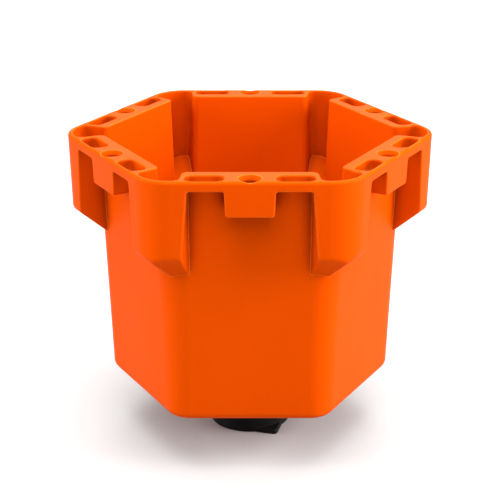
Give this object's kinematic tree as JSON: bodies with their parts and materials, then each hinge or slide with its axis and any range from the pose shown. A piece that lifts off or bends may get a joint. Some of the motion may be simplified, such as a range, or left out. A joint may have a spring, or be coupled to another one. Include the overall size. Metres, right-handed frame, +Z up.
{
  "type": "tool bucket organizer",
  "caption": "Hexagonal moulded tool bucket with slotted rim decks and hollow corner pockets, swivelling on a round magnetic foot.",
  "frame": {"origin": "middle of the foot's magnet face, at the bottom of the part", "axes": "+Z up along the swivel axis, a flat side of the bucket faces -Y, two corners lie on the X axis"},
  "size_m": [0.2238, 0.2, 0.195],
  "materials": {
    "orange_plastic": "fine satin moulded",
    "black_plastic": "fine matte moulded",
    "bearing_plastic": "machined acetal",
    "lock_nylon": "satin",
    "black_rubber": "matte",
    "plated_steel": "zinc plated",
    "bolt_steel": "plain steel",
    "magnet": "nickel plated"
  },
  "bodies": {
    "foot": {"foot_column": "black_plastic", "magnet_cup": "plated_steel", "ring_magnet": "magnet", "rubber_boot": "black_rubber", "pivot_bolt": "bolt_steel", "jam_nut": "bolt_steel", "thrust_washer": "bearing_plastic", "bearing_washer": "plated_steel", "spring_washer": "bolt_steel", "lock_nut": "plated_steel", "lock_ring": "lock_nylon", "nut_cover": "black_plastic"},
    "bucket": {"bucket_shell": "orange_plastic", "floor_bushing": "bearing_plastic"}
  },
  "joints": [
    {"name": "bucket_swivel", "type": "hinge", "parent": "foot", "child": "bucket", "pos_m": [0, 0, 0.036], "axis": [0, 0, 1], "continuous": true}
  ]
}
